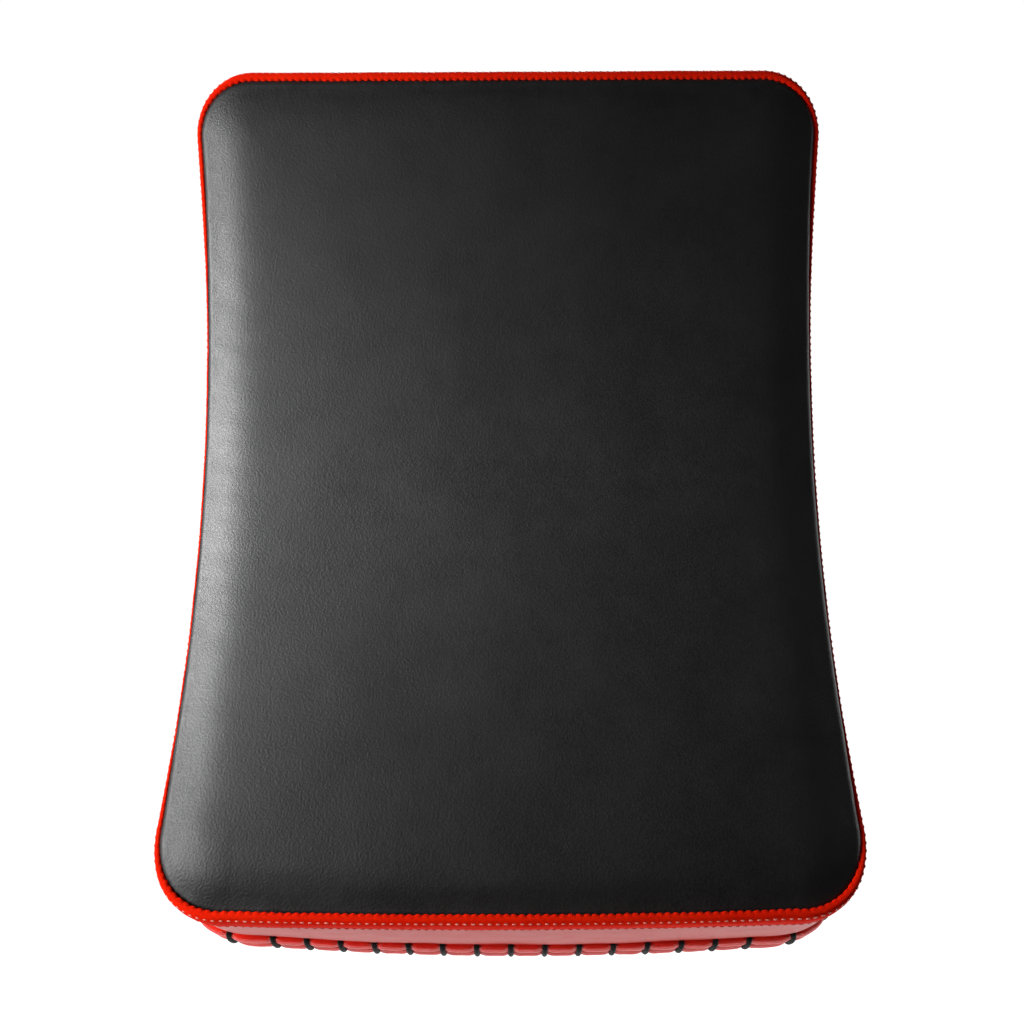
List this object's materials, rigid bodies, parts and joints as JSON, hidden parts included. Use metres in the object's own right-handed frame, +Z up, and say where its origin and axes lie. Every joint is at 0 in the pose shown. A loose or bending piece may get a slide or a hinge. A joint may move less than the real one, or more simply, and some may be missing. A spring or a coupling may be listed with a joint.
{
  "type": "thai pad",
  "caption": "Curved rectangular kick and elbow training pad with black striking face, red trim, laced rear edge, forearm straps and a padded grip.",
  "frame": {"origin": "on the forearm cushion's surface, behind the middle of the striking face, where the forearm lies", "axes": "+Z up the pad towards the grip, +Y out of the back towards the forearm, so the striking face looks towards -Y, and +X across the pad"},
  "size_m": [0.3084, 0.2234, 0.451],
  "materials": {
    "black_leather": "semi-gloss fine-grain leather",
    "red_binding": "glossy folded leather binding",
    "red_gusset": "glossy fine-grain leather",
    "lining": "brushed knit over thin foam",
    "hook_and_loop": "matt hook-and-loop tape",
    "lace": "waxed round cord",
    "firm_foam": "closed-cell foam",
    "soft_foam": "open-cell foam",
    "board": "pressed fibreboard",
    "steel": "nickel-plated steel"
  },
  "bodies": {
    "root": {"strike_cover": "black_leather", "strike_foam": "firm_foam", "impact_foam": "soft_foam", "rear_foam": "firm_foam", "backing_board": "board", "back_panel": "black_leather", "side_gusset": "red_gusset", "front_binding": "red_binding", "rear_binding": "red_binding", "gusset_hem_roll": "red_binding", "panel_hem_roll": "red_binding", "lacing_cord": "lace", "forearm_cushion_foam": "firm_foam", "forearm_cushion_cover": "black_leather", "upper_strap": "black_leather", "upper_strap_lining": "lining", "upper_loop_patch": "hook_and_loop", "upper_ring_tab": "black_leather", "upper_anchor_rivet_bottom": "steel", "upper_anchor_rivet_top": "steel", "upper_tab_rivet_bottom": "steel", "upper_tab_rivet_top": "steel", "lower_strap": "black_leather", "lower_strap_lining": "lining", "lower_loop_patch": "hook_and_loop", "lower_ring_tab": "black_leather", "lower_anchor_rivet_bottom": "steel", "lower_anchor_rivet_top": "steel", "lower_tab_rivet_bottom": "steel", "lower_tab_rivet_top": "steel", "grip_foot_left": "black_leather", "grip_left_rivet_bottom": "steel", "grip_left_rivet_top": "steel", "grip_foot_right": "black_leather", "grip_right_rivet_bottom": "steel", "grip_right_rivet_top": "steel"},
    "upper_ring": {"upper_ring": "steel", "upper_strap_fold": "black_leather"},
    "upper_tail": {"upper_strap_tail": "black_leather", "upper_hook_patch": "hook_and_loop"},
    "lower_ring": {"lower_ring": "steel", "lower_strap_fold": "black_leather"},
    "lower_tail": {"lower_strap_tail": "black_leather", "lower_hook_patch": "hook_and_loop"},
    "grip": {"grip_strap": "black_leather", "grip_foam": "soft_foam", "grip_cover": "black_leather", "grip_collar_left": "red_binding", "grip_collar_right": "red_binding"}
  },
  "joints": [
    {"name": "upper_ring_swing", "type": "hinge", "parent": "root", "child": "upper_ring", "pos_m": [0.0975, -0.0022, 0.01472], "axis": [0, 0.0276, -0.9996], "range_deg": [0, 12]},
    {"name": "upper_tail_peel", "type": "hinge", "parent": "upper_ring", "child": "upper_tail", "pos_m": [0.09496, 0.03405, 0.01572], "axis": [0, 0.0276, -0.9996], "range_deg": [0, 150]},
    {"name": "lower_ring_swing", "type": "hinge", "parent": "root", "child": "lower_ring", "pos_m": [0.0975, -0.01548, -0.1192], "axis": [0, -0.2234, -0.9747], "range_deg": [0, 12]},
    {"name": "lower_tail_peel", "type": "hinge", "parent": "lower_ring", "child": "lower_tail", "pos_m": [0.09496, 0.01987, -0.1273], "axis": [0, -0.2234, -0.9747], "range_deg": [0, 150]},
    {"name": "grip_rock", "type": "hinge", "parent": "root", "child": "grip", "pos_m": [0, -0.03051, 0.13798], "axis": [1, 0, 0], "range_deg": [-15, 15]}
  ]
}
